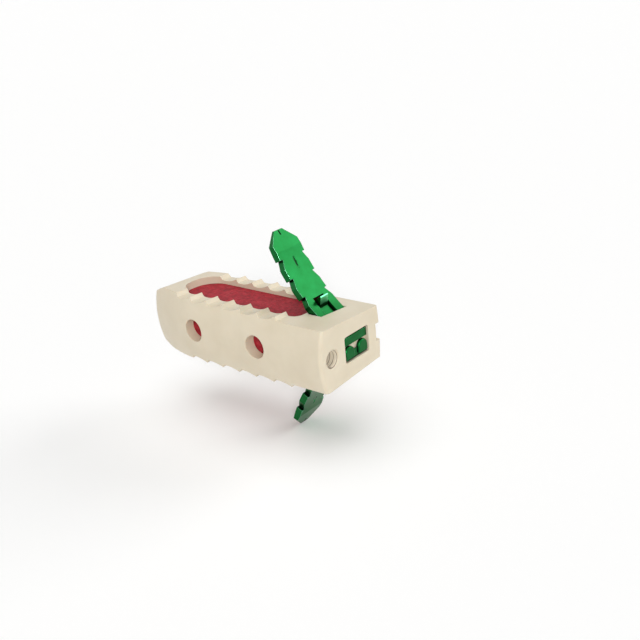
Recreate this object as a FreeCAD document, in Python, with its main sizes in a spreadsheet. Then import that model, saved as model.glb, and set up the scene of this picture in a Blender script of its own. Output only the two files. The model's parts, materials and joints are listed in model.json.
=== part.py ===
import FreeCAD, Part
import math
import os

import Sketcher

# Interbody cage for the lumbar spine: a wedge-shaped, toothed body with a graft chamber,
# and two curved barbed plates that slide through arc-shaped passages into the bone above and below.
# +X points to the end face that the instruments hold, -X to the nose, -Y to the front wall
# and +Z up. The origin is the middle of the body. Lengths are millimetres, angles degrees.

SIZES = (
    ("body_length", 50.0, "nose tip to end face"),
    ("body_width", 18.4, "front wall to back wall at mid height"),
    ("front_height", 12.8, "land to land at the front wall"),
    ("back_height", 10.8, "land to land at the back wall"),
    ("front_crown_radius", 16.4, "bulge of the front wall from top to bottom"),
    ("back_crown_radius", 45.0, "bulge of the back wall from top to bottom"),
    ("stock_margin", 1.0, "what the stock stands over the finished body"),
    ("nose_side_length", 19.0, "nose tip to where the sides run straight"),
    ("nose_side_radius", 50.0, "sides closing towards the nose"),
    ("nose_corner_radius", 3.0, "between the sides and the nose tip"),
    ("nose_tip_radius", 14.0, "nose tip seen from above"),
    ("nose_taper_length", 6.0, "nose tip to the full height"),
    ("nose_taper_radius", 12.0, "nose seen from the front"),
    ("nose_tip_height", 6.6, "nose tip, top to bottom"),
    ("front_edge_round", 0.7, "upright edge between front wall and end face"),
    ("back_edge_round", 0.3, "upright edge between back wall and end face"),
    ("tooth_pitch", 4.6, "crest to crest"),
    ("tooth_depth", 0.8, "crest to valley"),
    ("tooth_stand", 0.8, "crest over the land"),
    ("tooth_face_run", 0.5, "length of a tooth's steep face"),
    ("tooth_ramp_radius", 6.0, "hollow of a tooth's ramp"),
    ("tooth_count", 6, "gaps between the teeth on each face"),
    ("upper_crest_setback", 11.5, "end face to the nearest crest above"),
    ("lower_crest_setback", 9.2, "end face to the nearest crest below"),
    ("chamber_nose_wall", 8.0, "nose tip to the chamber"),
    ("chamber_end_wall", 9.0, "end face to the chamber"),
    ("chamber_front_wall", 4.7, "front wall's face at mid height to the chamber"),
    ("chamber_back_wall", 3.7, "back wall's face at mid height to the chamber"),
    ("chamber_nose_flat", 1.2, "straight end of the chamber between its round corners at the nose"),
    ("chamber_end_round", 1.8, "chamber's corners at the end wall"),
    ("side_hole_diameter", 4.8, "holes through the side walls"),
    ("side_hole_spacing", 17.1, "between the two holes of a wall"),
    ("side_hole_rise", 0.3, "holes above the middle of the body"),
    ("fixation_offset", 1.8, "middle of the plates behind the middle of the body"),
    ("window_width", 7.4, "window in the end face"),
    ("window_height", 5.4, "window in the end face"),
    ("window_depth", 0.85, "window in the end face"),
    ("window_corner_round", 0.5, "window's corners"),
    ("thread_radius", 1.7, "wall of the inserter's threaded hole"),
    ("thread_depth", 7.0, "threaded hole"),
    ("thread_offset", 5.66, "threaded hole in front of the middle of the body"),
    ("thread_lead_in", 0.25, "chamfer at the threaded hole's mouth"),
    ("grip_notch_depth", 1.3, "notch for the inserter in the back corner"),
    ("grip_notch_height", 3.6, "notch for the inserter"),
    ("grip_notch_length", 3.0, "notch for the inserter, along the body"),
    ("marker_diameter", 1.0, "X-ray marker pins"),
    ("marker_length", 3.2, "X-ray marker pins"),
    ("marker_ceiling", 2.0, "blind end of the marker holes below the mid plane"),
    ("marker_clearance", 0.01, "all round a marker pin"),
    ("marker_nose_setback", 4.6, "nose tip to the nose marker"),
    ("marker_end_setback", 10.5, "end face to the wall markers"),
    ("marker_wall_setback", 2.2, "wall markers behind the wall's face"),
    ("graft_clearance", 0.05, "graft to the chamber's wall"),
    ("graft_recess", 0.8, "graft below the lands"),
    ("graft_hole_recess", 2.35, "graft inside the mouths of the side holes"),
    ("upper_arc_out", 15.1, "upper plate's arc centre beyond the end face"),
    ("upper_arc_rise", 31.3, "upper plate's arc centre above the mid plane"),
    ("lower_arc_out", 16.85, "lower plate's arc centre beyond the end face"),
    ("lower_arc_rise", 30.65, "lower plate's arc centre below the mid plane"),
    ("plate_arc_radius", 33.0, "hollow face of a plate"),
    ("plate_thickness", 1.45, "plate"),
    ("plate_width", 7.1, "plate"),
    ("plate_clearance", 0.08, "all round a plate in its passage"),
    ("passage_setback", 0.3, "end face to where a passage leaves the window"),
    ("passage_mouth_chamfer", 0.8, "edge of a passage's mouth beside the plate's hollow face"),
    ("upper_tail_setback", 0.4, "end face to the upper plate's tail"),
    ("lower_tail_setback", 0.5, "end face to the lower plate's tail"),
    ("upper_tip_angle", 71.6, "upper plate's tip, from straight below its arc centre"),
    ("lower_tip_angle", 73.7, "lower plate's tip, from straight above its arc centre"),
    ("tip_bevel_back", 6.8, "tip to the start of its bevel, degrees of arc"),
    ("tip_thickness", 0.45, "plate tip"),
    ("tip_width", 2.3, "plate tip"),
    ("tip_taper_length", 2.6, "plate tip"),
    ("barb_back", 9.6, "tip to the first barb's shoulder, degrees of arc"),
    ("barb_pitch_angle", 7.15, "shoulder to shoulder"),
    ("barb_count", 3, "barbs on each edge"),
    ("barb_depth", 0.7, "shoulder"),
    ("barb_run", 1.9, "from a shoulder back to the full width"),
    ("groove_back", 12.1, "tip to the middle of the driver groove, degrees of arc"),
    ("groove_length", 2.5, "driver groove"),
    ("groove_width", 0.5, "driver groove"),
    ("groove_depth", 0.4, "driver groove"),
    ("tip_groove_back", 1.0, "tip to the middle of its short groove, degrees of arc"),
    ("tip_groove_length", 0.9, "short groove at the tip"),
    ("tip_groove_width", 0.3, "short groove at the tip"),
    ("latch_back", 25.7, "tip to the free end of the latch tongue, degrees of arc"),
    ("latch_length", 7.6, "latch tongue"),
    ("latch_width", 2.3, "latch tongue"),
    ("latch_gap", 0.4, "slot round the latch tongue"),
    ("latch_recess", 0.55, "tongue below the plate's hollow face"),
    ("catch_back", 27.1, "tip to the crest of the tongue's catch, degrees of arc"),
    ("catch_flat_angle", 0.5, "crest of the catch"),
    ("catch_slope_angle", 2.6, "crest of the catch down to the tongue, towards the tail"),
    ("catch_height", 1.4, "catch over the plate's hollow face"),
    ("lug_width", 2.8, "stop lugs on the lower plate's tail"),
    ("lug_offset", 2.02, "lugs from the middle of the plate"),
    ("lug_height", 2.45, "stop lugs"),
    ("lug_top", 0.3, "top of the lugs above the mid plane"),
    ("lug_end_setback", 0.1, "end face to the lugs"),
    ("lug_edge_round", 0.3, "edge of the lugs' end faces"),
    ("lug_seat_gap", 0.05, "lugs to the floor of the window"),
)

# Places worked out from the sizes
END = "Sizes.body_length / 2"
HALF_WIDTH = "Sizes.body_width / 2"
CHAMBER_WIDTH = "(Sizes.body_width - Sizes.chamber_front_wall - Sizes.chamber_back_wall)"
HALF_TILT = "atan((Sizes.front_height - Sizes.back_height) / (2 * Sizes.body_width))"
LAND = f"(Sizes.front_height + Sizes.back_height) / 4 * cos({HALF_TILT})"
CREST = f"{LAND} + Sizes.tooth_stand"
VALLEY = f"{CREST} - Sizes.tooth_depth"
STOCK_TOP = "(Sizes.front_height / 2 + Sizes.tooth_stand + Sizes.stock_margin / 2)"
ABOVE = "(Sizes.front_height / 2 + 3 * Sizes.stock_margin)"
INNER = "Sizes.plate_arc_radius"
OUTER = "(Sizes.plate_arc_radius + Sizes.plate_thickness)"

LEFT, RIGHT = 1, -1
UP, DOWN = 1, -1
WORDS = {UP: "Upper", DOWN: "Lower"}

doc = FreeCAD.newDocument("interbody_cage")
sheet = doc.addObject("Spreadsheet::Sheet", "Sizes")
for row, (alias, number, note) in enumerate(SIZES, start=1):
    sheet.set(f"A{row}", note)
    sheet.set(f"B{row}", str(number))
    sheet.setAlias(f"B{row}", alias)
doc.recompute()


def value(formula):
    """The number that a formula of the sheet gives now."""
    found = sheet.evalExpression(str(formula))
    return float(getattr(found, "Value", found))


def bind(thing, prop, formula):
    """Ties a property to a formula of the sheet."""
    thing.setExpression(prop, str(formula))


def flip(side, formula):
    """The formula for the upper side, or its mirror image for the lower one."""
    return formula if side == UP else f"-({formula})"


def sketch_on(body, role, name, shift=None, turn=None):
    """An empty sketch on one of the body's planes, shifted by formulas and turned about an axis."""
    sketch = body.newObject("Sketcher::SketchObject", name)
    plane = [part for part in body.Origin.OriginFeatures if part.Role == role][0]
    sketch.AttachmentSupport = [(plane, "")]
    sketch.MapMode = "FlatFace"
    if turn:
        axis, angle = turn
        spin = FreeCAD.Rotation(FreeCAD.Vector(*axis), value(angle))
        sketch.AttachmentOffset = FreeCAD.Placement(FreeCAD.Vector(), spin)
        bind(sketch, "AttachmentOffset.Rotation.Angle", angle)
    for letter, formula in (shift or {}).items():
        bind(sketch, f"AttachmentOffset.Base.{letter}", formula)
    return sketch


def fix(sketch, kind, target, formula):
    """Adds a dimension to the sketch and ties it to a formula."""
    index = sketch.addConstraint(Sketcher.Constraint(kind, *target, value(formula)))
    bind(sketch, f"Constraints[{index}]", formula)


def arc_between(a, b, radius, turn):
    """The short arc from a to b, turning left or right."""
    chord = b - a
    across = FreeCAD.Vector(-chord.y, chord.x, 0).normalize()
    reach = math.sqrt(radius**2 - (chord.Length / 2) ** 2)
    centre = (a + b) / 2 + across * reach * turn
    first, last = (a, b) if turn == LEFT else (b, a)
    angles = [math.atan2(end.y - centre.y, end.x - centre.x) for end in (first, last)]
    return Part.ArcOfCircle(Part.Circle(centre, FreeCAD.Vector(0, 0, 1), radius), *angles)


def add_outline(sketch, corners):
    """A closed outline. A corner is (x, y), or (x, y, radius, turn) where an arc leads to the next."""
    spots = [FreeCAD.Vector(value(corner[0]), value(corner[1]), 0) for corner in corners]
    ends = []
    for number, corner in enumerate(corners):
        here, following = spots[number], spots[(number + 1) % len(spots)]
        if len(corner) == 2:
            edge = sketch.addGeometry(Part.LineSegment(here, following))
            ends.append((edge, 1, 2))
        else:
            turn = corner[3]
            edge = sketch.addGeometry(arc_between(here, following, value(corner[2]), turn))
            ends.append((edge, 1, 2) if turn == LEFT else (edge, 2, 1))
    for number, (edge, start, finish) in enumerate(ends):
        following = ends[(number + 1) % len(ends)]
        joint = Sketcher.Constraint("Coincident", edge, finish, following[0], following[1])
        sketch.addConstraint(joint)
        corner = corners[number]
        fix(sketch, "DistanceX", (edge, start), corner[0])
        fix(sketch, "DistanceY", (edge, start), corner[1])
        if len(corner) > 2:
            fix(sketch, "Radius", (edge,), corner[2])


def add_circle(sketch, x, y, radius):
    """A circle about a place given by formulas."""
    middle = FreeCAD.Vector(value(x), value(y), 0)
    circle = Part.Circle(middle, FreeCAD.Vector(0, 0, 1), value(radius))
    edge = sketch.addGeometry(circle)
    fix(sketch, "DistanceX", (edge, 3), x)
    fix(sketch, "DistanceY", (edge, 3), y)
    fix(sketch, "Radius", (edge,), radius)


def box_outline(low_x, high_x, low_y, high_y):
    """The four corners of a rectangle."""
    return [(low_x, low_y), (high_x, low_y), (high_x, high_y), (low_x, high_y)]


def rounded_outline(low_x, high_x, low_y, high_y, low_round, high_round):
    """A rectangle with round corners: one radius at its low X end and one at its high X end."""
    return [
        (f"{low_x} + {low_round}", low_y),
        (f"{high_x} - {high_round}", low_y, high_round, LEFT),
        (high_x, f"{low_y} + {high_round}"),
        (high_x, f"{high_y} - {high_round}", high_round, LEFT),
        (f"{high_x} - {high_round}", high_y),
        (f"{low_x} + {low_round}", high_y, low_round, LEFT),
        (low_x, f"{high_y} - {low_round}"),
        (low_x, f"{low_y} + {low_round}", low_round, LEFT),
    ]


def extrude(body, kind, name, sketch, length=None, symmetric=False, reverse=False):
    """A pad or pocket of a sketch: by a length, or through everything."""
    feature = body.newObject(f"PartDesign::{kind}", name)
    feature.Profile = sketch
    feature.SideType = "Symmetric" if symmetric else "One side"
    feature.Reversed = reverse
    if length is None:
        feature.Type = "ThroughAll"
    else:
        bind(feature, "Length", length)
    return settle(body, feature)


def settle(body, feature):
    """Rebuilds the body with the feature as its tip, and stops where it changed nothing."""
    before = feature.BaseFeature.Shape.Volume if feature.BaseFeature else 0.0
    body.Tip = feature
    doc.recompute()
    if feature.Shape.isNull() or abs(feature.Shape.Volume - before) < 1e-4:
        raise RuntimeError(f"{feature.Name} changed nothing")
    return feature


def pattern(body, kind, name, original, axis, count, extent_name, extent, reverse=False):
    """Repeats a feature along or about one of the body's axes."""
    feature = body.newObject(f"PartDesign::{kind}", name)
    feature.Originals = [original]
    line = [part for part in body.Origin.OriginFeatures if part.Role == axis][0]
    setattr(feature, "Direction" if kind == "LinearPattern" else "Axis", (line, [""]))
    feature.Reversed = reverse
    bind(feature, "Occurrences", count)
    bind(feature, extent_name, extent)
    return settle(body, feature)


def dress(body, kind, name, prop, formula, wanted):
    """A fillet or chamfer on the edges of the tip that the test picks."""
    tip = body.Tip
    names = [f"Edge{number}" for number, edge in enumerate(tip.Shape.Edges, 1) if wanted(edge)]
    if not names:
        raise RuntimeError(f"{name} found no edge")
    feature = body.newObject(f"PartDesign::{kind}", name)
    feature.Base = (tip, names)
    bind(feature, prop, formula)
    return settle(body, feature)


def crown_path(sketch):
    """The wall's line at mid height, round the nose, as lines and arcs that run into each other."""
    half, end = value(HALF_WIDTH), value(f"{END} + Sizes.stock_margin")
    side, corner, tip = (
        value(f"Sizes.nose_{part}_radius") for part in ("side", "corner", "tip")
    )
    start = value(f"Sizes.nose_side_length - {END}")
    side_centre = FreeCAD.Vector(start, side - half, 0)
    tip_centre = FreeCAD.Vector(tip - value(END), 0, 0)
    apart = tip_centre - side_centre
    along = ((side - corner) ** 2 - (tip - corner) ** 2 + apart.Length**2) / (2 * apart.Length)
    across = math.sqrt((side - corner) ** 2 - along**2)
    unit = FreeCAD.Vector(apart).normalize()
    normal = FreeCAD.Vector(unit.y, -unit.x, 0)
    corner_centre = side_centre + unit * along + normal * across
    if corner_centre.x > tip_centre.x or corner_centre.y > 0:
        corner_centre = side_centre + unit * along - normal * across
    side_end = side_centre + (corner_centre - side_centre).normalize() * side
    tip_end = tip_centre + (corner_centre - tip_centre).normalize() * tip

    def mirrored(spot):
        return FreeCAD.Vector(spot.x, -spot.y, 0)

    front = [
        (FreeCAD.Vector(end, -half, 0), None),
        (FreeCAD.Vector(start, -half, 0), side),
        (side_end, corner),
        (tip_end, tip),
    ]
    back = [
        (mirrored(tip_end), corner),
        (mirrored(side_end), side),
        (FreeCAD.Vector(start, half, 0), None),
        (FreeCAD.Vector(end, half, 0), None),
    ]
    spots = front + back
    for (here, radius), (following, _) in zip(spots, spots[1:]):
        if radius is None:
            sketch.addGeometry(Part.LineSegment(here, following))
        else:
            sketch.addGeometry(arc_between(here, following, radius, RIGHT))
    first_line, last_line, tip_arc = 0, 6, 3
    for number in range(last_line):
        leave = 2 if number == first_line else 1
        enter = 1 if number + 1 == last_line else 2
        smooth = Sketcher.Constraint("Tangent", number, leave, number + 1, enter)
        sketch.addConstraint(smooth)
    for line in (first_line, last_line):
        sketch.addConstraint(Sketcher.Constraint("Horizontal", line))
    fix(sketch, "DistanceX", (first_line, 1), f"{END} + Sizes.stock_margin")
    fix(sketch, "DistanceY", (first_line, 1), f"-({HALF_WIDTH})")
    fix(sketch, "DistanceX", (first_line, 2), f"Sizes.nose_side_length - {END}")
    fix(sketch, "DistanceX", (last_line, 1), f"Sizes.nose_side_length - {END}")
    fix(sketch, "DistanceX", (last_line, 2), f"{END} + Sizes.stock_margin")
    fix(sketch, "DistanceY", (last_line, 2), HALF_WIDTH)
    for arc, part in ((1, "side"), (2, "corner"), (3, "tip"), (4, "corner"), (5, "side")):
        fix(sketch, "Radius", (arc,), f"Sizes.nose_{part}_radius")
    fix(sketch, "DistanceX", (tip_arc, 3), f"Sizes.nose_tip_radius - {END}")
    fix(sketch, "DistanceY", (tip_arc, 3), "0")


def crown_sketch(body, wall, sign):
    """What is cut off outside one wall, seen along the body: the wall bulges at mid height."""
    name, margin = f"{wall.title()}CrownSketch", "Sizes.stock_margin"
    sketch = sketch_on(body, "YZ_Plane", name, shift={"z": f"{END} + {margin}"})
    high = f"({STOCK_TOP} + {margin} / 4)"
    radius = f"Sizes.{wall}_crown_radius"
    reach = flip(sign, f"{HALF_WIDTH} + 6 * {margin}")
    inset = flip(sign, f"{HALF_WIDTH} - {radius} + sqrt({radius}^2 - {high}^2)")
    turn = LEFT if sign > 0 else RIGHT
    low_start = (inset, f"-{high}", radius, turn)
    add_outline(sketch, [(reach, f"-{high}"), low_start, (inset, high), (reach, high)])
    return sketch


def toothed_face(body, side):
    """One bearing face: its tilt, its lands, the nose's taper and the row of teeth."""
    word = WORDS[side]
    tilt = ((1, 0, 0), flip(-side, HALF_TILT))
    bulging, hollow = (RIGHT, LEFT) if side == UP else (LEFT, RIGHT)
    last_crest = f"{END} - Sizes.{word.lower()}_crest_setback"
    first_gap = f"{last_crest} - Sizes.tooth_count * Sizes.tooth_pitch"

    profile = sketch_on(body, "XZ_Plane", f"{word}FaceSketch", turn=tilt)
    nose = f"-({END})"
    margin = "Sizes.stock_margin"
    taper_end = f"Sizes.nose_taper_length - {END}"
    add_outline(
        profile,
        [
            (f"{nose} - 2 * {margin}", flip(side, "Sizes.nose_tip_height / 2")),
            (nose, flip(side, "Sizes.nose_tip_height / 2"), "Sizes.nose_taper_radius", bulging),
            (taper_end, flip(side, CREST)),
            (last_crest, flip(side, CREST)),
            (f"{last_crest} + Sizes.tooth_face_run", flip(side, LAND)),
            (f"{END} + {margin}", flip(side, LAND)),
            (f"{END} + {margin}", flip(side, ABOVE)),
            (f"{nose} - 2 * {margin}", flip(side, ABOVE)),
        ],
    )
    extrude(body, "Pocket", f"{word}Face", profile, symmetric=True)

    gap = sketch_on(body, "XZ_Plane", f"{word}ToothGapSketch", turn=tilt)
    add_outline(
        gap,
        [
            (first_gap, flip(side, CREST)),
            (
                f"{first_gap} + Sizes.tooth_face_run",
                flip(side, VALLEY),
                "Sizes.tooth_ramp_radius",
                hollow,
            ),
            (f"{first_gap} + Sizes.tooth_pitch", flip(side, CREST)),
            (f"{first_gap} + Sizes.tooth_pitch", flip(side, ABOVE)),
            (first_gap, flip(side, ABOVE)),
        ],
    )
    first = extrude(body, "Pocket", f"{word}ToothGap", gap, symmetric=True)
    pattern(
        body,
        "LinearPattern",
        f"{word}Teeth",
        first,
        "X_Axis",
        "Sizes.tooth_count",
        "Length",
        "(Sizes.tooth_count - 1) * Sizes.tooth_pitch",
    )


def arc_centre(side):
    """How far out along X, and how far above or below the mid plane, a plate's arc is centred."""
    word = WORDS[side].lower()
    return f"({END} + Sizes.{word}_arc_out)", f"Sizes.{word}_arc_rise"


def passage_outline(side):
    """Side view of one passage: from inside the window out through the bearing face."""
    across, rise = arc_centre(side)
    inner = f"({INNER} - Sizes.plate_clearance)"
    outer = f"({OUTER} + Sizes.plate_clearance)"
    start = f"({END} - Sizes.passage_setback)"
    top = ABOVE

    def at_start(radius):
        return (start, flip(side, f"{rise} - sqrt({radius}^2 - ({across} - {start})^2)"))

    def at_top(radius):
        return (f"{across} - sqrt({radius}^2 - ({rise} - {top})^2)", flip(side, top))

    there, back = (RIGHT, LEFT) if side == UP else (LEFT, RIGHT)
    return [
        (*at_start(inner), inner, there),
        at_top(inner),
        (*at_top(outer), outer, back),
        at_start(outer),
    ]


def cage_body():
    """The wedge-shaped body, cut from one block."""
    body = doc.addObject("PartDesign::Body", "CageBody")
    body.Label = "cage_body"
    margin = "Sizes.stock_margin"

    block = sketch_on(body, "YZ_Plane", "StockSketch", shift={"z": END})
    wide = f"({HALF_WIDTH} + {margin})"
    add_outline(block, box_outline(f"-{wide}", wide, f"-{STOCK_TOP}", STOCK_TOP))
    extrude(body, "Pad", "Stock", block, f"Sizes.body_length + {margin}", reverse=True)

    path = sketch_on(body, "XY_Plane", "WallPath")
    crown_path(path)
    walls = body.newObject("PartDesign::SubtractivePipe", "CrownedWalls")
    walls.Profile = crown_sketch(body, "front", -1)
    walls.Sections = [(crown_sketch(body, "back", 1), [""])]
    walls.Transformation = "Multisection"
    walls.Spine = (path, [])
    settle(body, walls)

    for name, sign in (("front", -1), ("back", 1)):

        def upright(edge, sign=sign):
            middle = edge.BoundBox.Center
            flat = edge.BoundBox.XLength < 1e-6 and abs(middle.x - value(END)) < 1e-6
            return flat and edge.BoundBox.ZLength > 5 and middle.y * sign > 0

        edge_round = f"Sizes.{name}_edge_round"
        dress(body, "Fillet", f"{name.title()}EdgeRound", "Radius", edge_round, upright)

    toothed_face(body, UP)
    toothed_face(body, DOWN)

    chamber = sketch_on(body, "XY_Plane", "ChamberSketch")
    add_outline(chamber, chamber_outline("0"))
    extrude(body, "Pocket", "Chamber", chamber, symmetric=True)

    holes = sketch_on(body, "XZ_Plane", "SideHolesSketch")
    for sign in ("-", ""):
        place = f"{sign}Sizes.side_hole_spacing / 2"
        add_circle(holes, place, "Sizes.side_hole_rise", "Sizes.side_hole_diameter / 2")
    extrude(body, "Pocket", "SideHoles", holes, symmetric=True)

    window = sketch_on(body, "YZ_Plane", "WindowSketch", shift={"z": END})
    side, half = "Sizes.fixation_offset", "Sizes.window_width / 2"
    tall, corner = "Sizes.window_height / 2", "Sizes.window_corner_round"
    add_outline(
        window,
        rounded_outline(f"{side} - {half}", f"{side} + {half}", f"-{tall}", tall, corner, corner),
    )
    extrude(body, "Pocket", "Window", window, "Sizes.window_depth")

    passages = sketch_on(
        body, "XZ_Plane", "PassageSketch", shift={"z": "-Sizes.fixation_offset"}
    )
    for side in (UP, DOWN):
        add_outline(passages, passage_outline(side))
    room = "Sizes.plate_width + 2 * Sizes.plate_clearance"
    extrude(body, "Pocket", "Passages", passages, room, symmetric=True)

    inner = value(f"{INNER} - Sizes.plate_clearance")

    def beside_hollow(edge):
        box, centre = edge.BoundBox, edge.BoundBox.Center
        across = box.YLength > value("Sizes.plate_width") and box.XLength < box.YLength / 4
        outside = abs(centre.z) > value("Sizes.window_height / 2 + Sizes.passage_mouth_chamfer")
        if not (across and outside):
            return False
        side = UP if centre.z > 0 else DOWN
        out, rise = (value(formula) for formula in arc_centre(side))
        radius = math.hypot(centre.x - out, abs(centre.z) - rise)
        return abs(radius - inner) < 0.05

    chamfer = "Sizes.passage_mouth_chamfer"
    dress(body, "Chamfer", "PassageMouths", "Size", chamfer, beside_hollow)

    thread = sketch_on(body, "YZ_Plane", "ThreadSketch", shift={"z": END})
    add_circle(thread, "-Sizes.thread_offset", "0", "Sizes.thread_radius")
    extrude(body, "Pocket", "ThreadedHole", thread, "Sizes.thread_depth")

    notch = sketch_on(body, "YZ_Plane", "GripNotchSketch", shift={"z": END})
    low = f"{HALF_WIDTH} - Sizes.grip_notch_depth"
    tall = "Sizes.grip_notch_height / 2"
    add_outline(notch, box_outline(low, f"{HALF_WIDTH} + {margin}", f"-{tall}", tall))
    extrude(body, "Pocket", "GripNotch", notch, "Sizes.grip_notch_length")

    markers = sketch_on(
        body, "XY_Plane", "MarkerHolesSketch", shift={"z": "-Sizes.marker_ceiling"}
    )
    for x, y in marker_places():
        add_circle(markers, x, y, "Sizes.marker_diameter / 2 + Sizes.marker_clearance")
    extrude(body, "Pocket", "MarkerHoles", markers)

    def mouth(edge):
        at_end = abs(edge.BoundBox.Center.x - value(END)) < 1e-6
        round_edge = hasattr(edge.Curve, "Radius") and edge.BoundBox.XLength < 1e-6
        return at_end and round_edge and abs(edge.Curve.Radius - value("Sizes.thread_radius")) < 1e-6

    dress(body, "Chamfer", "ThreadLeadIn", "Size", "Sizes.thread_lead_in", mouth)
    return body


def chamber_outline(gap):
    """The graft chamber seen from above, drawn in by a gap."""
    return rounded_outline(
        f"(Sizes.chamber_nose_wall - {END} + {gap})",
        f"({END} - Sizes.chamber_end_wall - {gap})",
        f"(Sizes.chamber_front_wall - {HALF_WIDTH} + {gap})",
        f"({HALF_WIDTH} - Sizes.chamber_back_wall - {gap})",
        f"(({CHAMBER_WIDTH} - Sizes.chamber_nose_flat) / 2 - {gap})",
        f"(Sizes.chamber_end_round - {gap})",
    )


def marker_places():
    """Where the marker pins stand: one in the nose and one in each wall near the end face."""
    near_end = f"{END} - Sizes.marker_end_setback"
    return (
        (f"Sizes.marker_nose_setback - {END}", "0"),
        (near_end, f"Sizes.marker_wall_setback - {HALF_WIDTH}"),
        (near_end, f"{HALF_WIDTH} - Sizes.marker_wall_setback"),
    )


def bone_graft():
    """The graft that fills the chamber and part of the side holes, just below the lands."""
    body = doc.addObject("PartDesign::Body", "BoneGraft")
    body.Label = "bone_graft"
    outline = sketch_on(body, "XY_Plane", "GraftSketch")
    add_outline(outline, chamber_outline("Sizes.graft_clearance"))
    extrude(body, "Pad", "Graft", outline, f"2 * {ABOVE}", symmetric=True)
    plugs = sketch_on(body, "XZ_Plane", "GraftPlugSketch")
    for sign in ("-", ""):
        place = f"{sign}Sizes.side_hole_spacing / 2"
        radius = "Sizes.side_hole_diameter / 2 - Sizes.graft_clearance"
        add_circle(plugs, place, "Sizes.side_hole_rise", radius)
    reach = "Sizes.body_width - 2 * Sizes.graft_hole_recess"
    extrude(body, "Pad", "GraftPlugs", plugs, reach, symmetric=True)
    for side in (UP, DOWN):
        word = WORDS[side]
        tilt = ((1, 0, 0), flip(-side, HALF_TILT))
        face = sketch_on(body, "XZ_Plane", f"{word}GraftSketch", turn=tilt)
        low = flip(side, f"{LAND} - Sizes.graft_recess")
        high = flip(side, f"2 * {ABOVE}")
        add_outline(face, box_outline(f"-({END})", END, low, high))
        extrude(body, "Pocket", f"{word}GraftFace", face, symmetric=True)
    return body


def marker_pins():
    """The X-ray marker pins, pressed into blind holes from below."""
    pins = []
    for number, (x, y) in enumerate(marker_places(), 1):
        pin = doc.addObject("Part::Cylinder", f"MarkerPin{number}")
        bind(pin, "Radius", "Sizes.marker_diameter / 2")
        bind(pin, "Height", "Sizes.marker_length")
        bind(pin, "Placement.Base.x", x)
        bind(pin, "Placement.Base.y", y)
        low = "-(Sizes.marker_ceiling + Sizes.marker_clearance + Sizes.marker_length)"
        bind(pin, "Placement.Base.z", low)
        pins.append(pin)
    group = doc.addObject("Part::Compound", "MarkerPins")
    group.Label = "marker_pins"
    group.Links = pins
    return group


def on_arc(radius, angle):
    """A point of the plate's side view, by its radius and its angle from straight down."""
    return (f"-({radius}) * sin({angle})", f"-({radius}) * cos({angle})")


def facing_plate(body, name, angle, radius=INNER):
    """A sketch that lies on the plate at an angle, with X towards the tail and Y across."""
    away, below = on_arc(radius, angle)
    return sketch_on(body, "XY_Plane", name, {"x": away, "z": below}, ((0, 1, 0), angle))


def barb_outline(sign):
    """The notch behind one barb: a square shoulder, then a slope back to the full width."""
    edge = "Sizes.plate_width / 2"
    spread = 1.5
    slope_end = f"Sizes.barb_run * {spread}"
    deep = flip(sign, f"{edge} - Sizes.barb_depth")
    out = flip(sign, f"{edge} + Sizes.barb_depth * {spread - 1}")
    return [("0", deep), (slope_end, out), ("0", out)]


def tip_outline(sign):
    """What the tip's taper takes off one edge of the plate."""
    edge, margin = "Sizes.plate_width / 2", "Sizes.stock_margin"
    narrow = flip(sign, "Sizes.tip_width / 2")
    return [
        (f"-{margin}", narrow),
        ("0", narrow),
        ("Sizes.tip_taper_length", flip(sign, edge)),
        ("Sizes.tip_taper_length", flip(sign, f"{edge} + {margin}")),
        (f"-{margin}", flip(sign, f"{edge} + {margin}")),
    ]


def latch_outline():
    """The slot that frees the latch tongue on three sides."""
    half = "Sizes.latch_width / 2"
    wide = f"({half} + Sizes.latch_gap)"
    root, free = "Sizes.latch_length / 2", "-Sizes.latch_length / 2"
    return [
        (root, wide),
        (free, wide),
        (free, f"-{wide}"),
        (root, f"-{wide}"),
        (root, f"-{half}"),
        (f"{free} + Sizes.latch_gap", f"-{half}"),
        (f"{free} + Sizes.latch_gap", half),
        (root, half),
    ]


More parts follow.
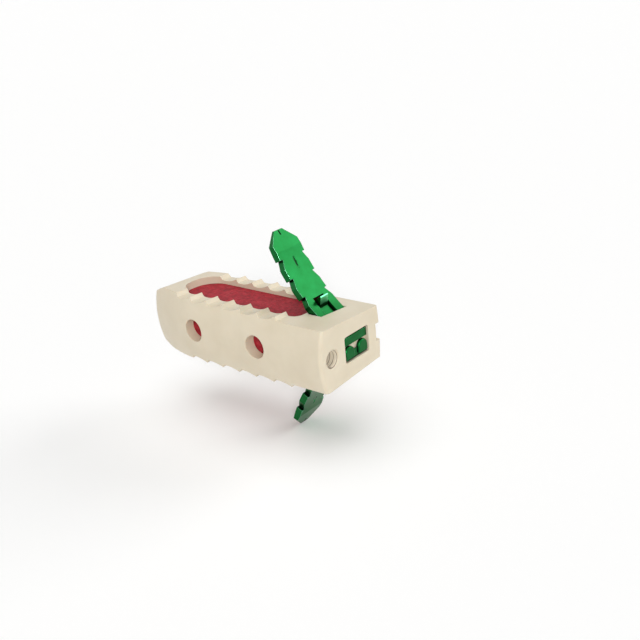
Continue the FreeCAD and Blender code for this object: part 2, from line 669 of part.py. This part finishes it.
def anchor_plate(side):
    """A curved plate about its arc's centre: pointed tip, barbed edges, latch tongue and tail."""
    name, word = f"{WORDS[side]}Plate", WORDS[side].lower()
    body = doc.addObject("PartDesign::Body", name)
    body.Label = f"{word}_anchor_plate"
    width = "Sizes.plate_width"
    arc_out, arc_rise = arc_centre(side)
    tail = f"({END} - Sizes.{word}_tail_setback - {arc_out})"
    tip = f"Sizes.{word}_tip_angle"

    def back_from_tip(size):
        return f"({tip} - Sizes.{size})"

    strip = sketch_on(body, "XZ_Plane", f"{name}StripSketch")
    add_outline(
        strip,
        [
            (tail, f"-sqrt({INNER}^2 - {tail}^2)", INNER, RIGHT),
            on_arc(INNER, back_from_tip("tip_bevel_back")),
            on_arc(f"{OUTER} - Sizes.tip_thickness", tip),
            (*on_arc(OUTER, tip), OUTER, LEFT),
            (tail, f"-sqrt({OUTER}^2 - {tail}^2)"),
        ],
    )
    extrude(body, "Pad", f"{name}Strip", strip, width, symmetric=True)

    through = "6 * Sizes.plate_thickness"
    point = facing_plate(body, f"{name}TipSketch", tip)
    barb = facing_plate(body, f"{name}BarbSketch", back_from_tip("barb_back"))
    for sign in (UP, DOWN):
        add_outline(point, tip_outline(sign))
        add_outline(barb, barb_outline(sign))
    extrude(body, "Pocket", f"{name}Tip", point, through, symmetric=True)
    first = extrude(body, "Pocket", f"{name}Barb", barb, through, symmetric=True)
    pattern(
        body,
        "PolarPattern",
        f"{name}Barbs",
        first,
        "Y_Axis",
        "Sizes.barb_count",
        "Angle",
        "(Sizes.barb_count - 1) * Sizes.barb_pitch_angle",
        reverse=True,
    )

    groove = facing_plate(body, f"{name}GrooveSketch", back_from_tip("groove_back"))
    half, wide = "Sizes.groove_length / 2", "Sizes.groove_width / 2"
    add_outline(groove, box_outline(f"-{half}", half, f"-{wide}", wide))
    extrude(body, "Pocket", f"{name}Groove", groove, "Sizes.groove_depth")

    near_tip = back_from_tip("tip_groove_back")
    nick = facing_plate(body, f"{name}TipGrooveSketch", near_tip, OUTER)
    half, wide = "Sizes.tip_groove_length / 2", "Sizes.tip_groove_width / 2"
    add_outline(nick, box_outline(f"-{half}", half, f"-{wide}", wide))
    extrude(body, "Pocket", f"{name}TipGroove", nick, through, symmetric=True)

    free_end = back_from_tip("latch_back")
    middle = f"({free_end} - Sizes.latch_length / {INNER} * 90 / pi)"
    latch = facing_plate(body, f"{name}LatchSketch", middle)
    add_outline(latch, latch_outline())
    extrude(body, "Pocket", f"{name}Latch", latch, through, symmetric=True)

    recess = sketch_on(body, "XZ_Plane", f"{name}RecessSketch")
    floor = f"({INNER} + Sizes.latch_recess)"
    air = f"({INNER} - Sizes.plate_thickness)"
    root_end = f"({free_end} - Sizes.latch_length / {INNER} * 180 / pi)"
    add_outline(
        recess,
        [
            (*on_arc(floor, root_end), floor, RIGHT),
            on_arc(floor, free_end),
            on_arc(air, free_end),
            on_arc(air, root_end),
        ],
    )
    wide = "Sizes.latch_width + 2 * Sizes.latch_gap"
    extrude(body, "Pocket", f"{name}Recess", recess, wide, symmetric=True)

    catch = sketch_on(body, "XZ_Plane", f"{name}CatchSketch")
    root = f"({floor} + Sizes.latch_recess / 4)"
    crown = f"({INNER} - Sizes.catch_height)"
    crest = back_from_tip("catch_back")
    add_outline(
        catch,
        [
            on_arc(root, f"({crest} - Sizes.catch_slope_angle)"),
            on_arc(crown, f"({crest} - Sizes.catch_flat_angle / 2)"),
            on_arc(crown, f"({crest} + Sizes.catch_flat_angle / 2)"),
            on_arc(root, f"({free_end} - Sizes.latch_gap / {INNER} * 180 / pi)"),
        ],
    )
    extrude(body, "Pad", f"{name}Catch", catch, "Sizes.latch_width", symmetric=True)

    if side == DOWN:
        add_lugs(body)

    turn = FreeCAD.Rotation(FreeCAD.Vector(1, 0, 0), 0 if side == UP else 180)
    body.Placement = FreeCAD.Placement(FreeCAD.Vector(), turn)
    bind(body, "Placement.Base.x", arc_out)
    bind(body, "Placement.Base.y", "Sizes.fixation_offset")
    bind(body, "Placement.Base.z", flip(side, arc_rise))
    return body


def add_lugs(body):
    """Two round-topped stop lugs on the lower plate's tail, in front of the window's floor."""
    arc_out, arc_rise = arc_centre(DOWN)
    outer_end = f"({END} - Sizes.lug_end_setback - {arc_out})"
    inner_end = f"({END} - Sizes.window_depth + Sizes.lug_seat_gap - {arc_out})"
    lugs = sketch_on(body, "YZ_Plane", "LugSketch", shift={"z": outer_end})
    low = f"-({arc_rise} + Sizes.lug_top)"
    top = f"({low} + Sizes.lug_height)"
    radius = "Sizes.lug_width / 2"
    for sign in ("-", ""):
        middle = f"{sign}Sizes.lug_offset"
        add_outline(
            lugs,
            [
                (f"{middle} - {radius}", top),
                (f"{middle} - {radius}", f"{low} + {radius}", radius, LEFT),
                (middle, low, radius, LEFT),
                (f"{middle} + {radius}", f"{low} + {radius}"),
                (f"{middle} + {radius}", top),
            ],
        )
    extrude(body, "Pad", "Lugs", lugs, f"{outer_end} - {inner_end}", reverse=True)

    def on_end_face(edge):
        box = edge.BoundBox
        at_end = box.XLength < 1e-6 and abs(box.Center.x - value(outer_end)) < 1e-6
        return at_end and box.ZLength > 1e-6

    dress(body, "Fillet", "LugEdgeRound", "Radius", "Sizes.lug_edge_round", on_end_face)


def check_and_export(nodes):
    """Stops on any failed feature or bad shape, then writes one file for each node."""
    doc.recompute()
    for thing in doc.Objects:
        if "Invalid" in thing.State or "Error" in thing.State:
            raise RuntimeError(f"{thing.Name} failed: {thing.State}")
    for node in nodes:
        if node.Shape.isNull() or not node.Shape.isValid():
            raise RuntimeError(f"{node.Label} has no valid shape")
    os.makedirs("parts", exist_ok=True)
    for node in nodes:
        node.Shape.exportStep(f"parts/{node.Label}.step")
        print(node.Label, len(node.Shape.Solids), "solid(s)", round(node.Shape.Volume, 2), "mm3")


check_and_export(
    [
        cage_body(),
        bone_graft(),
        marker_pins(),
        anchor_plate(UP),
        anchor_plate(DOWN),
    ]
)
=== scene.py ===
"""Studio picture of a spinal interbody cage with a packed graft and two driven anchor plates."""

import json
import math

import bpy
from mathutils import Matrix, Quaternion, Vector


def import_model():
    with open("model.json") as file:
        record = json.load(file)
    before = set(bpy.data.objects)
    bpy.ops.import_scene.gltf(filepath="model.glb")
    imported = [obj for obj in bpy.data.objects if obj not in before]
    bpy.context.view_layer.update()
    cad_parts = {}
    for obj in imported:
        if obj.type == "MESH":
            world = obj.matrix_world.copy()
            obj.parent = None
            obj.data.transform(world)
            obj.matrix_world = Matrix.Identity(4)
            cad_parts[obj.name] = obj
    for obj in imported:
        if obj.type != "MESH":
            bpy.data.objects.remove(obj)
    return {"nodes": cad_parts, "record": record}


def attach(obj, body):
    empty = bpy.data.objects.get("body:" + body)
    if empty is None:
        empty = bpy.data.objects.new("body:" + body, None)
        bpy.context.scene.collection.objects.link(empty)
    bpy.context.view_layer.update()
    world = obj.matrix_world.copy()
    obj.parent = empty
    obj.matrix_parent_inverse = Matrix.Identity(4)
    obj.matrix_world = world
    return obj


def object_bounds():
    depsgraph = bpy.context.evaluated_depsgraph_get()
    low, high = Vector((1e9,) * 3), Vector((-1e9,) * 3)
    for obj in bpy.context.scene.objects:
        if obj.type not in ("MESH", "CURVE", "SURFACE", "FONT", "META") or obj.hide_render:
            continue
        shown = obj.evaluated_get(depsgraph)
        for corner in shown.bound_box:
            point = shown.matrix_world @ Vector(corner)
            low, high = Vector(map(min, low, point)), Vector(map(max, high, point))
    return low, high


MM = 0.001
WHITE = (1.0, 1.0, 1.0)
BLACK = (0.0, 0.0, 0.0)

# The anchor plates: the middle of their width, their hollow face and their arcs' centres, (x, z).
PLATE_Y = 1.8 * MM
PLATE_HOLLOW = 33.0 * MM
UPPER_ARC = (40.1 * MM, 31.3 * MM)
LOWER_ARC = (41.85 * MM, -30.65 * MM)

# The threaded hole beside the window.
THREAD_Y = -5.66 * MM
THREAD_WALL = 1.7 * MM
THREAD_MOUTH = 25.0 * MM
THREAD_LEAD_IN = 0.25 * MM
THREAD_START = math.radians(206.0)
THREAD_STEPS = 64

# Colour stops of the materials, from the dark spots of their mottling to the pale ones.
PEEK_STOPS = [(0.3, (0.64, 0.56, 0.42)), (0.7, (0.69, 0.612, 0.472))]
GREEN_STOPS = [(0.32, (0.004, 0.105, 0.02)), (0.72, (0.006, 0.135, 0.03))]
GRAFT_STOPS = [
    (0.25, (0.24, 0.006, 0.014)),
    (0.5, (0.42, 0.014, 0.03)),
    (0.8, (0.55, 0.045, 0.06)),
]
TANTALUM_STOPS = [(0.3, (0.27, 0.28, 0.31)), (0.7, (0.38, 0.39, 0.42))]
# Painted shade: the graft darkens towards the edges of its granules, between them.
GRAFT_GAP_SHADE_STOPS = [(0.0, WHITE), (0.8, (0.45, 0.4, 0.4))]
# Painted shade: the brown between the thread's ridges.
GROOVE_SHADE_BROWN = (0.16, 0.115, 0.07)
# Painted light: added to the thread's colour, which lies in the hole's shade.
RIDGE_PAINTED_LIGHT = 0.14
# Painted highlight: the pale green along the plates' outer edges.
EDGE_HIGHLIGHT_GREEN = (0.22, 0.62, 0.38)
# Painted highlight: the bright green on the catch's slope.
CATCH_HIGHLIGHT_GREEN = (0.14, 0.66, 0.32)
FLOOR_WHITE = (0.99, 0.99, 0.985)

# Edge rounding of the shading normal, and the reach and stops of the painted shade in hollow places
# and of the painted edge highlight.
EDGE_ROUNDING = 0.12 * MM
HOLLOW_WIDTH = 0.5 * MM
# Painted shade in hollow places, by how open the surface lies.
HOLLOW_SHADE_STOPS = [(0.6, (0.06, 0.06, 0.06)), (0.95, WHITE)]
# Painted highlight along the edges, by how far the rounded normal leaves the face.
EDGE_HIGHLIGHT_STOPS = [(0.8, WHITE), (0.95, BLACK)]
PROBE_RAYS = 8

# The photograph's viewpoint, in degrees, millimetres and pixels.
VIEW_AZIMUTH = 41.114
VIEW_ELEVATION = 22.53
VIEW_ROLL = -5.647
VIEW_AIM = (1.545, 18.709, -5.999)
VIEW_DISTANCE = 192.469
FOCAL_PIXELS = 867.374
PICTURE_PIXELS = 640.0
SENSOR_WIDTH = 36.0

# The studio.
WORLD_AS_LAMP = 0.22
WORLD_AS_SEEN = 1.0
FLOOR_GAP = 0.2 * MM
FLOOR_HALF = 6.0

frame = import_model()
size_of_solids = [list(corner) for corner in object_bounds()]
scene = bpy.context.scene


def fill(tree, socket, value):
    """Gives a socket a plain value, or joins it to the output of another node."""
    if isinstance(value, bpy.types.NodeSocket):
        tree.links.new(value, socket)
    else:
        socket.default_value = value


def node(tree, kind, inputs=None, **settings):
    """A shader node with its settings and inputs filled in."""
    made = tree.nodes.new(kind)
    for name, value in settings.items():
        setattr(made, name, value)
    for key, value in (inputs or {}).items():
        fill(tree, made.inputs[key], value)
    return made


def material(name):
    """An empty material: itself, its node tree and its object coordinates."""
    made = bpy.data.materials.new(name)
    made.use_nodes = True
    tree = made.node_tree
    return made, tree, node(tree, "ShaderNodeTexCoord").outputs["Object"]


def surface(tree, inputs):
    """Fills in the inputs of a material's surface shader."""
    shader = tree.nodes["Principled BSDF"]
    for key, value in inputs.items():
        fill(tree, shader.inputs[key], value)


def opaque(colour):
    """A plain colour with its full opacity. The output of another node stays as it is."""
    return (*colour, 1.0) if isinstance(colour, tuple) else colour


def ramp(tree, source, stops):
    """A colour ramp from (position, colour) stops."""
    made = node(tree, "ShaderNodeValToRGB", {"Fac": source})
    elements = made.color_ramp.elements
    while len(elements) < len(stops):
        elements.new(0.5)
    for element, (position, colour) in zip(elements, stops):
        element.position = position
        element.color = opaque(colour)
    return made.outputs["Color"]


def blend(tree, kind, amount, first, second):
    """Two colours mixed, by a number or by another output."""
    inputs = {0: amount, 6: opaque(first), 7: opaque(second)}
    return node(tree, "ShaderNodeMix", inputs, data_type="RGBA", blend_type=kind).outputs[2]


def noise(tree, place, scale, detail=4.0, roughness=0.55, stretch=None):
    """Noise in object space, stretched along an axis where a stretch is given."""
    if stretch:
        stretched = node(tree, "ShaderNodeMapping", {"Vector": place, "Scale": stretch})
        place = stretched.outputs["Vector"]
    inputs = {"Vector": place, "Scale": scale, "Detail": detail, "Roughness": roughness}
    return node(tree, "ShaderNodeTexNoise", inputs).outputs["Fac"]


def bump(tree, height, strength, depth, normal=None):
    """A bump of a height, on top of another normal where one is given."""
    inputs = {"Height": height, "Strength": strength, "Distance": depth}
    if normal is not None:
        inputs["Normal"] = normal
    return node(tree, "ShaderNodeBump", inputs).outputs["Normal"]


def arithmetic(tree, operation, *values):
    """The result of an operation on numbers or other outputs."""
    inputs = dict(enumerate(values))
    return node(tree, "ShaderNodeMath", inputs, operation=operation).outputs[0]


def share(tree, value, start, end):
    """How far a value has come from a start, which counts 0, to an end, which counts 1."""
    inputs = {"Value": value, "From Min": start, "From Max": end}
    return node(tree, "ShaderNodeMapRange", inputs).outputs[0]


def reach(tree, place, centre, across):
    """Distance from the axis through a centre. Across is 0 for the axis and 1 for the other two."""
    inputs = {"Vector": place, "Location": tuple(-part for part in centre), "Scale": across}
    around = node(tree, "ShaderNodeMapping", inputs).outputs["Vector"]
    return node(tree, "ShaderNodeVectorMath", {0: around}, operation="LENGTH").outputs["Value"]


def soft_edge(tree):
    """The normal of an edge that is worn round."""
    rounding = node(tree, "ShaderNodeBevel", {"Radius": EDGE_ROUNDING}, samples=PROBE_RAYS)
    return rounding.outputs["Normal"]


def painted_hollow_shade(tree):
    """Painted shade: white on open faces, dark in each hollow and narrow cleft, where shade falls."""
    inputs = {"Distance": HOLLOW_WIDTH}
    openness = node(tree, "ShaderNodeAmbientOcclusion", inputs, samples=PROBE_RAYS)
    return ramp(tree, openness.outputs["AO"], HOLLOW_SHADE_STOPS)


def painted_edge_highlight(tree, edge):
    """Painted highlight: white where the rounded normal leaves the face, along the edges."""
    face = node(tree, "ShaderNodeNewGeometry").outputs["Normal"]
    likeness = node(tree, "ShaderNodeVectorMath", {0: edge, 1: face}, operation="DOT_PRODUCT")
    return ramp(tree, likeness.outputs["Value"], EDGE_HIGHLIGHT_STOPS)


def near_sides(tree, place):
    """The plates' sides, and not the middle of their width, where the driver groove lies: the mask
    that lets the painted edge highlight through.
    """
    along_y = node(tree, "ShaderNodeSeparateXYZ", {0: place}).outputs["Y"]
    across = arithmetic(tree, "ABSOLUTE", arithmetic(tree, "SUBTRACT", along_y, PLATE_Y))
    return share(tree, across, start=1.5 * MM, end=2.3 * MM)


def catch_slope_highlight(tree, place, arc_centre):
    """The catch's slope, which stands proud of the plate's hollow face: where its painted highlight
    goes.
    """
    centre = (arc_centre[0], 0.0, arc_centre[1])
    radius = reach(tree, place, centre, across=(1.0, 0.0, 1.0))
    proud = share(tree, radius, start=PLATE_HOLLOW - 0.05 * MM, end=PLATE_HOLLOW - 0.25 * MM)
    face = node(tree, "ShaderNodeNewGeometry").outputs["Normal"]
    along_x = node(tree, "ShaderNodeSeparateXYZ", {0: face}).outputs["X"]
    facing_tail = share(tree, along_x, start=0.3, end=0.6)
    return arithmetic(tree, "MULTIPLY", proud, facing_tail)


def peek(name="peek_satin", grooved=False):
    """Beige PEEK: satin, mottled, with the cutter's lines. Grooved, it is painted lighter all over as
    painted light, with painted shade between its ridges.
    """
    made, tree, place = material(name)
    # Painted light: the thread is made lighter than the rest of the PEEK.
    painted_lightening = RIDGE_PAINTED_LIGHT if grooved else 0.0
    stops = [(spot, tuple(part + painted_lightening for part in colour)) for spot, colour in PEEK_STOPS]
    tone = ramp(tree, noise(tree, place, scale=160.0, detail=3.0), stops)
    if grooved:
        # Painted shade between the ridges of the thread.
        radius = reach(tree, place, centre=(0.0, THREAD_Y, 0.0), across=(0.0, 1.0, 1.0))
        groove = share(tree, radius, start=THREAD_WALL - 0.16 * MM, end=THREAD_WALL - 0.05 * MM)
        tone = blend(tree, "MIX", groove, tone, GROOVE_SHADE_BROWN)
    lines = noise(tree, place, scale=900.0, detail=2.0, roughness=0.5, stretch=(0.06, 1.0, 1.0))
    edge = None if grooved else soft_edge(tree)
    relief = bump(tree, lines, strength=0.16, depth=0.05 * MM, normal=edge)
    grain = noise(tree, place, scale=4200.0, detail=3.0, roughness=0.6)
    surface(tree, {
        "Base Color": tone,
        "Normal": bump(tree, grain, strength=0.12, depth=0.02 * MM, normal=relief),
        "Roughness": 0.42,
        "Specular IOR Level": 0.45,
        "Subsurface Weight": 0.0 if grooved else 0.12,
        "Subsurface Scale": 0.8 * MM,
        "Subsurface Radius": (1.0, 0.6, 0.35),
    })
    return made


def green_titanium(name, arc_centre):
    """Titanium anodised green: satin metal, lightly blasted, with painted shade in hollow places and
    painted highlights along the outer edges and on the catch's slope.
    """
    made, tree, place = material(name)
    edge = soft_edge(tree)
    proud = painted_hollow_shade(tree)
    tone = ramp(tree, noise(tree, place, scale=420.0, detail=4.0), GREEN_STOPS)
    # Painted shade: the green is darkened in hollow places.
    tone = blend(tree, "MULTIPLY", 1.0, tone, proud)
    # Painted highlight along the outer edges, kept out of hollow places and the middle of the plates.
    edge_highlight = blend(tree, "MULTIPLY", 1.0, painted_edge_highlight(tree, edge), proud)
    edge_highlight = blend(tree, "MULTIPLY", 1.0, edge_highlight, near_sides(tree, place))
    tone = blend(tree, "MIX", edge_highlight, tone, EDGE_HIGHLIGHT_GREEN)
    # Painted highlight on the catch's slope.
    tone = blend(tree, "MIX", catch_slope_highlight(tree, place, arc_centre), tone, CATCH_HIGHLIGHT_GREEN)
    brushed = noise(tree, place, scale=1500.0, detail=2.0, roughness=0.5, stretch=(1.0, 0.05, 1.0))
    relief = bump(tree, brushed, strength=0.12, depth=0.03 * MM, normal=edge)
    grain = noise(tree, place, scale=3800.0, detail=3.0, roughness=0.6)
    surface(tree, {
        "Base Color": tone,
        "Normal": bump(tree, grain, strength=0.15, depth=0.02 * MM, normal=relief),
        "Metallic": 0.95,
        "Roughness": 0.28,
    })
    return made


def graft():
    """Packed bone graft: moist crimson granules, with painted shade in the crevices between them."""
    made, tree, place = material("graft_granules")
    cells = node(tree, "ShaderNodeTexVoronoi", {"Vector": place, "Scale": 1300.0})
    distance = cells.outputs["Distance"]
    cloud = noise(tree, place, scale=500.0, detail=5.0, roughness=0.65)
    # Painted shade in the crevices between the granules.
    gap_shade = ramp(tree, distance, GRAFT_GAP_SHADE_STOPS)
    granules = bump(tree, distance, strength=-1.0, depth=0.7 * MM)
    fine = noise(tree, place, scale=2600.0, detail=4.0, roughness=0.6)
    surface(tree, {
        "Base Color": blend(tree, "MULTIPLY", 0.8, ramp(tree, cloud, GRAFT_STOPS), gap_shade),
        "Normal": bump(tree, fine, strength=0.6, depth=0.2 * MM, normal=granules),
        "Roughness": 0.62,
        "Specular IOR Level": 0.22,
    })
    return made


def tantalum():
    """Bare tantalum wire, cut and tumbled."""
    made, tree, place = material("tantalum_satin")
    cloud = noise(tree, place, scale=2500.0, detail=3.0)
    grain = noise(tree, place, scale=6000.0, detail=2.0)
    surface(tree, {
        "Base Color": ramp(tree, cloud, TANTALUM_STOPS),
        "Normal": bump(tree, grain, strength=0.2, depth=0.02 * MM),
        "Metallic": 1.0,
        "Roughness": 0.4,
    })
    return made


LOOKS = {
    "cage_body": peek(),
    "bone_graft": graft(),
    "marker_pins": tantalum(),
    "upper_anchor_plate": green_titanium("upper_titanium", UPPER_ARC),
    "lower_anchor_plate": green_titanium("lower_titanium", LOWER_ARC),
}

for part in frame["record"]["subparts"]:
    solid = frame["nodes"][part["node"]]
    solid.data.materials.clear()
    solid.data.materials.append(LOOKS[part["node"]])


def hole_wall(along):
    """Radius of the threaded hole's wall, which opens in the lead-in at its mouth."""
    return THREAD_WALL + max(0.0, along - (THREAD_MOUTH - THREAD_LEAD_IN))


def inserter_thread(depth, height, pitch):
    """The inserter's thread: a broad flat ridge round the hole's wall with a narrow groove between."""
    foot, crest, sunk = 0.49 * pitch, 0.35 * pitch, 0.03 * MM
    fading = 0.2 * THREAD_STEPS
    count = int((depth / pitch - 1.0) * THREAD_STEPS)
    vertices, faces = [], []
    for number in range(count + 1):
        angle = 2 * math.pi * number / THREAD_STEPS + THREAD_START
        middle = THREAD_MOUTH - (0.5 + number / THREAD_STEPS) * pitch
        rise = height * min(1.0, number / fading, (count - number) / fading)
        for shift, lift in ((foot, -sunk), (crest, rise), (-crest, rise), (-foot, -sunk)):
            along = middle + shift
            radius = hole_wall(along) - lift
            across = THREAD_Y + radius * math.cos(angle)
            vertices.append((along, across, radius * math.sin(angle)))
    for number in range(count):
        for side in range(4):
            here, beside = 4 * number + side, 4 * number + (side + 1) % 4
            faces.append((here, here + 4, beside + 4, beside))
    faces.append((0, 1, 2, 3))
    faces.append(tuple(4 * count + corner for corner in (3, 2, 1, 0)))
    mesh = bpy.data.meshes.new("inserter_thread")
    mesh.from_pydata(vertices, [], faces)
    mesh.update()
    piece = bpy.data.objects.new("inserter_thread", mesh)
    scene.collection.objects.link(piece)
    mesh.materials.append(peek("peek_thread", grooved=True))
    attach(piece, "root")


inserter_thread(depth=6.4 * MM, height=0.19 * MM, pitch=0.84 * MM)


def look_from(azimuth, elevation):
    """The direction from the object towards a viewer or a lamp."""
    across, up = math.radians(azimuth), math.radians(elevation)
    level = math.cos(up)
    return Vector((math.sin(across) * level, -math.cos(across) * level, math.sin(up)))


def camera():
    """The camera at the photograph's viewpoint."""
    back = look_from(VIEW_AZIMUTH, VIEW_ELEVATION)
    data = bpy.data.cameras.new("photo_camera")
    data.sensor_width = SENSOR_WIDTH
    data.lens = FOCAL_PIXELS * SENSOR_WIDTH / PICTURE_PIXELS
    data.clip_start, data.clip_end = 0.01, 20.0
    made = bpy.data.objects.new("photo_camera", data)
    made.location = Vector(VIEW_AIM) * MM + back * VIEW_DISTANCE * MM
    made.rotation_mode = "QUATERNION"
    upright = back.to_track_quat("Z", "Y")
    made.rotation_quaternion = upright @ Quaternion((0, 0, 1), math.radians(VIEW_ROLL))
    scene.collection.objects.link(made)
    scene.camera = made


camera()


def sun(name, azimuth, elevation, strength, softness):
    """A soft white lamp that lights everything alike."""
    data = bpy.data.lights.new(name, "SUN")
    data.energy = strength
    data.angle = math.radians(softness)
    made = bpy.data.objects.new(name, data)
    made.rotation_mode = "QUATERNION"
    made.rotation_quaternion = look_from(azimuth, elevation).to_track_quat("Z", "Y")
    scene.collection.objects.link(made)


sun("key", azimuth=43.0, elevation=24.0, strength=1.75, softness=14.0)
sun("top", azimuth=0.0, elevation=84.0, strength=1.3, softness=60.0)
sun("back", azimuth=148.0, elevation=27.0, strength=0.95, softness=36.0)


def world():
    """White where it is seen, directly or in a reflection, and dim where it lights the object."""
    made = bpy.data.worlds.new("studio")
    scene.world = made
    made.use_nodes = True
    tree = made.node_tree
    path = node(tree, "ShaderNodeLightPath").outputs
    mirrored = arithmetic(tree, "MAXIMUM", path["Is Glossy Ray"], path["Is Transmission Ray"])
    seen = arithmetic(tree, "MAXIMUM", path["Is Camera Ray"], mirrored)
    inputs = {"Value": seen, "To Min": WORLD_AS_LAMP, "To Max": WORLD_AS_SEEN}
    strength = node(tree, "ShaderNodeMapRange", inputs).outputs[0]
    background = tree.nodes["Background"]
    fill(tree, background.inputs["Color"], opaque(WHITE))
    fill(tree, background.inputs["Strength"], strength)


world()


def floor():
    """A pale floor just under the lower plate's tip."""
    level = size_of_solids[0][2] - FLOOR_GAP
    mesh = bpy.data.meshes.new("floor")
    signs = ((-1, -1), (1, -1), (1, 1), (-1, 1))
    corners = [(x * FLOOR_HALF, y * FLOOR_HALF, level) for x, y in signs]
    mesh.from_pydata(corners, [], [(0, 1, 2, 3)])
    made = bpy.data.objects.new("floor", mesh)
    scene.collection.objects.link(made)
    paper = bpy.data.materials.new("floor_paper")
    paper.use_nodes = True
    surface(paper.node_tree, {
        "Base Color": opaque(FLOOR_WHITE),
        "Roughness": 0.9,
        "Specular IOR Level": 0.1,
    })
    mesh.materials.append(paper)


floor()

scene.view_settings.view_transform = "Standard"
